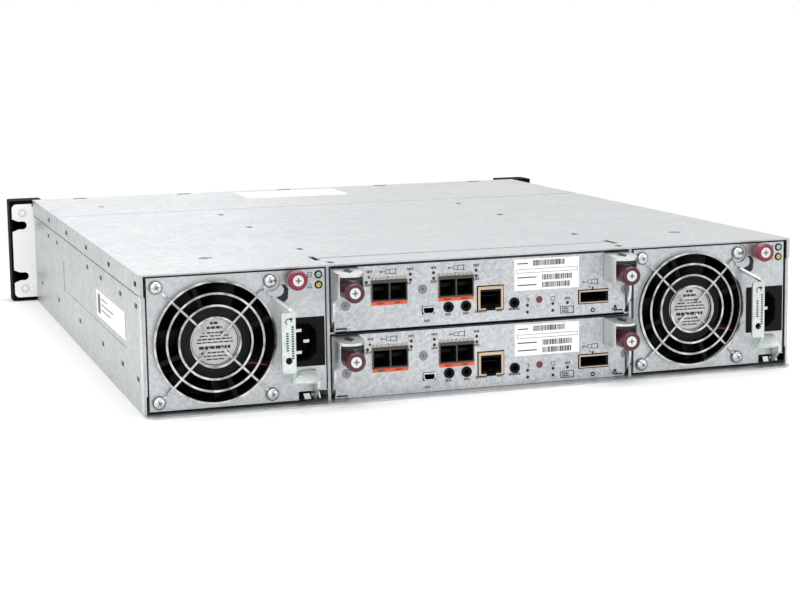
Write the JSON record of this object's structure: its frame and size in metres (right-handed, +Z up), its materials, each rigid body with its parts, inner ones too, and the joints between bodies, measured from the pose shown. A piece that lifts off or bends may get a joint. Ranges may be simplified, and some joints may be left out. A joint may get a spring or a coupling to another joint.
{
  "type": "storage array",
  "caption": "Two-unit rack storage array with hot-swap drives in front and removable power and controller modules behind.",
  "frame": {"origin": "middle of the object's outer box, on the plane of the chassis floor's underside", "axes": "+Z up, -Y towards the drives at the front, +Y towards the module side seen in the picture, +X to the right seen from the front"},
  "size_m": [0.486, 0.5594, 0.088],
  "materials": {
    "galvanised_sheet": "galvanised, fine grain",
    "bright_steel": "zinc plated, bright",
    "black_plastic": "moulded, matt",
    "crimson_grip": "moulded over a steel screw",
    "burgundy_grip": "moulded over a steel screw",
    "circuit_board": "solder mask",
    "socket_shell": "plated shields",
    "lamp_lens": "clear lens",
    "drive_metal": "cast, satin"
  },
  "bodies": {
    "chassis": {"chassis_tray": "galvanised_sheet", "top_cover": "galvanised_sheet", "drive_bay_cover": "galvanised_sheet", "bay_dividers": "galvanised_sheet", "midplane_board": "circuit_board", "drive_cage": "galvanised_sheet", "rack_ears": "bright_steel", "ear_cap_left": "black_plastic", "ear_cap_right": "black_plastic", "drive_blanks": "black_plastic"},
    "left_power_module": {"power_left_case": "galvanised_sheet", "power_left_fan_frame": "black_plastic", "power_left_finger_guard": "bright_steel", "power_left_guard_screws": "bright_steel", "power_left_inlet": "black_plastic", "power_left_lamps": "lamp_lens", "power_left_board": "circuit_board"},
    "left_fan": {"power_left_fan_rotor": "black_plastic"},
    "left_power_lever": {"power_left_lever": "bright_steel"},
    "left_power_thumbscrew": {"power_left_thumbscrew": "crimson_grip"},
    "right_power_module": {"power_right_case": "galvanised_sheet", "power_right_fan_frame": "black_plastic", "power_right_finger_guard": "bright_steel", "power_right_guard_screws": "bright_steel", "power_right_inlet": "black_plastic", "power_right_lamps": "lamp_lens", "power_right_board": "circuit_board"},
    "right_fan": {"power_right_fan_rotor": "black_plastic"},
    "right_power_lever": {"power_right_lever": "bright_steel"},
    "right_power_thumbscrew": {"power_right_thumbscrew": "crimson_grip"},
    "upper_controller": {"controller_upper_tray": "galvanised_sheet", "controller_upper_board": "circuit_board", "controller_upper_heat_sinks": "drive_metal", "controller_upper_port_cages": "bright_steel", "controller_upper_connectors": "socket_shell"},
    "upper_left_lever": {"controller_upper_lever_left": "galvanised_sheet"},
    "upper_left_thumbscrew": {"controller_upper_screw_left": "burgundy_grip"},
    "upper_right_lever": {"controller_upper_lever_right": "galvanised_sheet"},
    "upper_right_thumbscrew": {"controller_upper_screw_right": "burgundy_grip"},
    "lower_controller": {"controller_lower_tray": "galvanised_sheet", "controller_lower_board": "circuit_board", "controller_lower_heat_sinks": "drive_metal", "controller_lower_port_cages": "bright_steel", "controller_lower_connectors": "socket_shell"},
    "lower_left_lever": {"controller_lower_lever_left": "galvanised_sheet"},
    "lower_left_thumbscrew": {"controller_lower_screw_left": "burgundy_grip"},
    "lower_right_lever": {"controller_lower_lever_right": "galvanised_sheet"},
    "lower_right_thumbscrew": {"controller_lower_screw_right": "burgundy_grip"},
    "drive_1": {"drive_1_carrier": "drive_metal"},
    "drive_1_latch_lever": {"drive_1_latch": "black_plastic"},
    "drive_2": {"drive_2_carrier": "drive_metal"},
    "drive_2_latch_lever": {"drive_2_latch": "black_plastic"},
    "drive_3": {"drive_3_carrier": "drive_metal"},
    "drive_3_latch_lever": {"drive_3_latch": "black_plastic"},
    "drive_4": {"drive_4_carrier": "drive_metal"},
    "drive_4_latch_lever": {"drive_4_latch": "black_plastic"},
    "drive_5": {"drive_5_carrier": "drive_metal"},
    "drive_5_latch_lever": {"drive_5_latch": "black_plastic"},
    "drive_6": {"drive_6_carrier": "drive_metal"},
    "drive_6_latch_lever": {"drive_6_latch": "black_plastic"}
  },
  "joints": [
    {"name": "left_power_module_slide", "type": "slide", "parent": "chassis", "child": "left_power_module", "axis": [0, 1, 0], "range_m": [0, 0.35]},
    {"name": "left_fan_spin", "type": "hinge", "parent": "left_power_module", "child": "left_fan", "pos_m": [0.1778, 0.24325, 0.0442], "axis": [0, 1, 0], "continuous": true},
    {"name": "left_power_lever_swing", "type": "hinge", "parent": "left_power_module", "child": "left_power_lever", "pos_m": [0.117, 0.25375, 0.0058], "axis": [-1, 0, 0], "range_deg": [0, 45]},
    {"name": "left_power_thumbscrew_turn", "type": "hinge", "parent": "left_power_lever", "child": "left_power_thumbscrew", "pos_m": [0.1267, 0.25525, 0.0805], "axis": [0, 1, 0], "range_deg": [0, 1440]},
    {"name": "right_power_module_slide", "type": "slide", "parent": "chassis", "child": "right_power_module", "axis": [0, 1, 0], "range_m": [0, 0.35]},
    {"name": "right_fan_spin", "type": "hinge", "parent": "right_power_module", "child": "right_fan", "pos_m": [-0.1482, 0.24325, 0.0442], "axis": [0, 1, 0], "continuous": true},
    {"name": "right_power_lever_swing", "type": "hinge", "parent": "right_power_module", "child": "right_power_lever", "pos_m": [-0.209, 0.25375, 0.0058], "axis": [-1, 0, 0], "range_deg": [0, 45]},
    {"name": "right_power_thumbscrew_turn", "type": "hinge", "parent": "right_power_lever", "child": "right_power_thumbscrew", "pos_m": [-0.1993, 0.25525, 0.0805], "axis": [0, 1, 0], "range_deg": [0, 1440]},
    {"name": "upper_controller_slide", "type": "slide", "parent": "chassis", "child": "upper_controller", "axis": [0, 1, 0], "range_m": [0, 0.35]},
    {"name": "upper_left_lever_swing", "type": "hinge", "parent": "upper_controller", "child": "upper_left_lever", "pos_m": [0.1019, 0.25075, 0.05], "axis": [-1, 0, 0], "range_deg": [0, 40]},
    {"name": "upper_left_thumbscrew_turn", "type": "hinge", "parent": "upper_left_lever", "child": "upper_left_thumbscrew", "pos_m": [0.09395, 0.25475, 0.0723], "axis": [0, 1, 0], "range_deg": [0, 1440]},
    {"name": "upper_right_lever_swing", "type": "hinge", "parent": "upper_controller", "child": "upper_right_lever", "pos_m": [-0.1019, 0.25075, 0.05], "axis": [-1, 0, 0], "range_deg": [0, 40]},
    {"name": "upper_right_thumbscrew_turn", "type": "hinge", "parent": "upper_right_lever", "child": "upper_right_thumbscrew", "pos_m": [-0.09395, 0.25475, 0.0723], "axis": [0, 1, 0], "range_deg": [0, 1440]},
    {"name": "lower_controller_slide", "type": "slide", "parent": "chassis", "child": "lower_controller", "axis": [0, 1, 0], "range_m": [0, 0.35]},
    {"name": "lower_left_lever_swing", "type": "hinge", "parent": "lower_controller", "child": "lower_left_lever", "pos_m": [0.1019, 0.25075, 0.0068], "axis": [-1, 0, 0], "range_deg": [0, 40]},
    {"name": "lower_left_thumbscrew_turn", "type": "hinge", "parent": "lower_left_lever", "child": "lower_left_thumbscrew", "pos_m": [0.09395, 0.25475, 0.0291], "axis": [0, 1, 0], "range_deg": [0, 1440]},
    {"name": "lower_right_lever_swing", "type": "hinge", "parent": "lower_controller", "child": "lower_right_lever", "pos_m": [-0.1019, 0.25075, 0.0068], "axis": [-1, 0, 0], "range_deg": [0, 40]},
    {"name": "lower_right_thumbscrew_turn", "type": "hinge", "parent": "lower_right_lever", "child": "lower_right_thumbscrew", "pos_m": [-0.09395, 0.25475, 0.0291], "axis": [0, 1, 0], "range_deg": [0, 1440]},
    {"name": "drive_1_slide", "type": "slide", "parent": "chassis", "child": "drive_1", "axis": [0, -1, 0], "range_m": [0, 0.13]},
    {"name": "drive_1_latch_swing", "type": "hinge", "parent": "drive_1", "child": "drive_1_latch_lever", "pos_m": [-0.2047, -0.26935, 0.0106], "axis": [1, 0, 0], "range_deg": [0, 50]},
    {"name": "drive_2_slide", "type": "slide", "parent": "chassis", "child": "drive_2", "axis": [0, -1, 0], "range_m": [0, 0.13]},
    {"name": "drive_2_latch_swing", "type": "hinge", "parent": "drive_2", "child": "drive_2_latch_lever", "pos_m": [-0.1869, -0.26935, 0.0106], "axis": [1, 0, 0], "range_deg": [0, 50]},
    {"name": "drive_3_slide", "type": "slide", "parent": "chassis", "child": "drive_3", "axis": [0, -1, 0], "range_m": [0, 0.13]},
    {"name": "drive_3_latch_swing", "type": "hinge", "parent": "drive_3", "child": "drive_3_latch_lever", "pos_m": [-0.1691, -0.26935, 0.0106], "axis": [1, 0, 0], "range_deg": [0, 50]},
    {"name": "drive_4_slide", "type": "slide", "parent": "chassis", "child": "drive_4", "axis": [0, -1, 0], "range_m": [0, 0.13]},
    {"name": "drive_4_latch_swing", "type": "hinge", "parent": "drive_4", "child": "drive_4_latch_lever", "pos_m": [0.1691, -0.26935, 0.0106], "axis": [1, 0, 0], "range_deg": [0, 50]},
    {"name": "drive_5_slide", "type": "slide", "parent": "chassis", "child": "drive_5", "axis": [0, -1, 0], "range_m": [0, 0.13]},
    {"name": "drive_5_latch_swing", "type": "hinge", "parent": "drive_5", "child": "drive_5_latch_lever", "pos_m": [0.1869, -0.26935, 0.0106], "axis": [1, 0, 0], "range_deg": [0, 50]},
    {"name": "drive_6_slide", "type": "slide", "parent": "chassis", "child": "drive_6", "axis": [0, -1, 0], "range_m": [0, 0.13]},
    {"name": "drive_6_latch_swing", "type": "hinge", "parent": "drive_6", "child": "drive_6_latch_lever", "pos_m": [0.2047, -0.26935, 0.0106], "axis": [1, 0, 0], "range_deg": [0, 50]}
  ]
}
